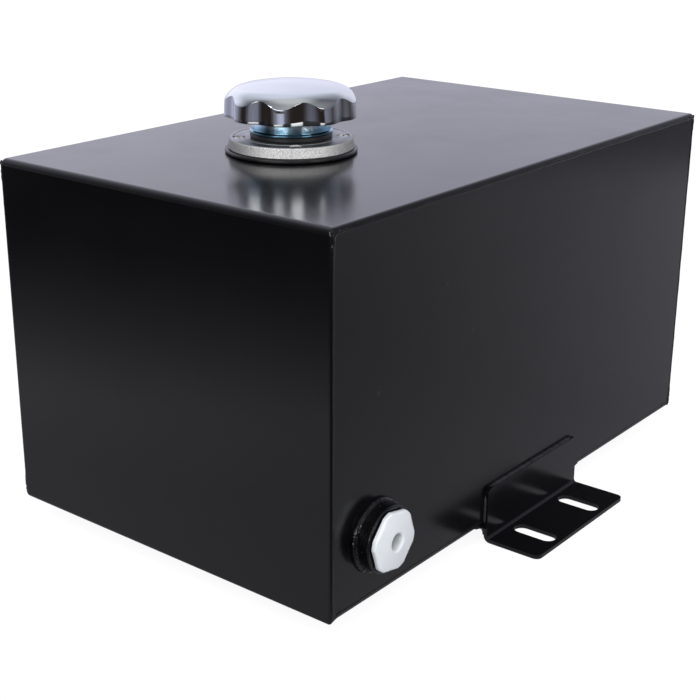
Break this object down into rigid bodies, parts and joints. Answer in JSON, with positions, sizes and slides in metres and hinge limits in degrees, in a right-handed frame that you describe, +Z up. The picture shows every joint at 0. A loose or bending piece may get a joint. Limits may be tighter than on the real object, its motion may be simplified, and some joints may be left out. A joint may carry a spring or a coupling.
{
  "type": "hydraulic reservoir",
  "caption": "Rectangular sheet-steel oil tank on slotted feet, with a lobed chrome filler-breather cap on a cast flange and plugged threaded ports.",
  "frame": {"origin": "on the mounting plane, the undersides of the feet, below the centre of the tank in plan", "axes": "+X along the tank's long side, -Y out of the side with the suction port, +Z up"},
  "size_m": [0.4, 0.3292, 0.2711],
  "materials": {
    "powder_coat": "satin black powder coat, fine orange peel",
    "boss_paint": "glossy black paint over weld",
    "white_plastic": "moulded white plastic",
    "seal_rubber": "smooth black rubber",
    "gasket_rubber": "dull black rubber sheet",
    "cast_alloy": "fine-grained die casting",
    "cap_chrome": "mirror chrome plate",
    "zinc_plate": "blue-white zinc plate",
    "screw_steel": "bright zinc",
    "basket_steel": "pressed perforated sheet",
    "filter_foam": "open-cell filter foam",
    "inner_steel": "plain pressed steel",
    "spring_steel": "drawn spring wire"
  },
  "bodies": {
    "tank": {"tank_wrap": "powder_coat", "port_side_plate": "powder_coat", "rear_side_plate": "powder_coat", "mounting_foot_front": "powder_coat", "mounting_foot_rear": "powder_coat", "suction_port_bung": "boss_paint", "return_port_bung": "boss_paint", "flange_gasket": "gasket_rubber", "filler_flange": "cast_alloy", "flange_screw_1": "screw_steel", "flange_screw_2": "screw_steel", "flange_screw_3": "screw_steel", "flange_screw_4": "screw_steel", "basket_strainer": "basket_steel"},
    "cap_seal": {"cap_gasket": "seal_rubber"},
    "cap": {"cap_shell": "cap_chrome", "cap_base_cup": "zinc_plate", "breather_element": "filter_foam", "cap_stud": "inner_steel", "lock_spring": "spring_steel", "spring_washer": "zinc_plate", "stud_nut": "zinc_plate"},
    "lock": {"lock_plate": "inner_steel"},
    "suction_seal": {"suction_plug_oring": "seal_rubber"},
    "suction_plug": {"suction_port_plug": "white_plastic"},
    "return_seal": {"return_plug_oring": "seal_rubber"},
    "return_plug": {"return_port_plug": "white_plastic"}
  },
  "joints": [
    {"name": "cap_lift", "type": "slide", "parent": "tank", "child": "cap_seal", "axis": [0, 0, 1], "range_m": [0, 0.07]},
    {"name": "cap_twist", "type": "hinge", "parent": "cap_seal", "child": "cap", "pos_m": [-0.0734, 0.0083, 0.249], "axis": [0, 0, -1], "range_deg": [0, 60]},
    {"name": "lock_slide", "type": "slide", "parent": "cap", "child": "lock", "axis": [0, 0, -1], "range_m": [0, 0.0012], "deforming": ["lock_spring"]},
    {"name": "suction_plug_out", "type": "slide", "parent": "tank", "child": "suction_seal", "axis": [0, -1, 0], "range_m": [0, 0.0145]},
    {"name": "suction_plug_turn", "type": "hinge", "parent": "suction_seal", "child": "suction_plug", "pos_m": [-0.1611, -0.135, 0.0491], "axis": [0, -1, 0], "range_deg": [0, 2880]},
    {"name": "return_plug_out", "type": "slide", "parent": "tank", "child": "return_seal", "axis": [0, 1, 0], "range_m": [0, 0.0145]},
    {"name": "return_plug_turn", "type": "hinge", "parent": "return_seal", "child": "return_plug", "pos_m": [0.1611, 0.135, 0.0491], "axis": [0, 1, 0], "range_deg": [0, 2880]}
  ],
  "couplings": [
    {"joint": "lock_slide", "follows": "cap_twist", "m_per_rad": 0.0010504},
    {"joint": "suction_plug_turn", "follows": "suction_plug_out", "rad_per_m": 3463.7},
    {"joint": "return_plug_turn", "follows": "return_plug_out", "rad_per_m": 3463.7}
  ]
}
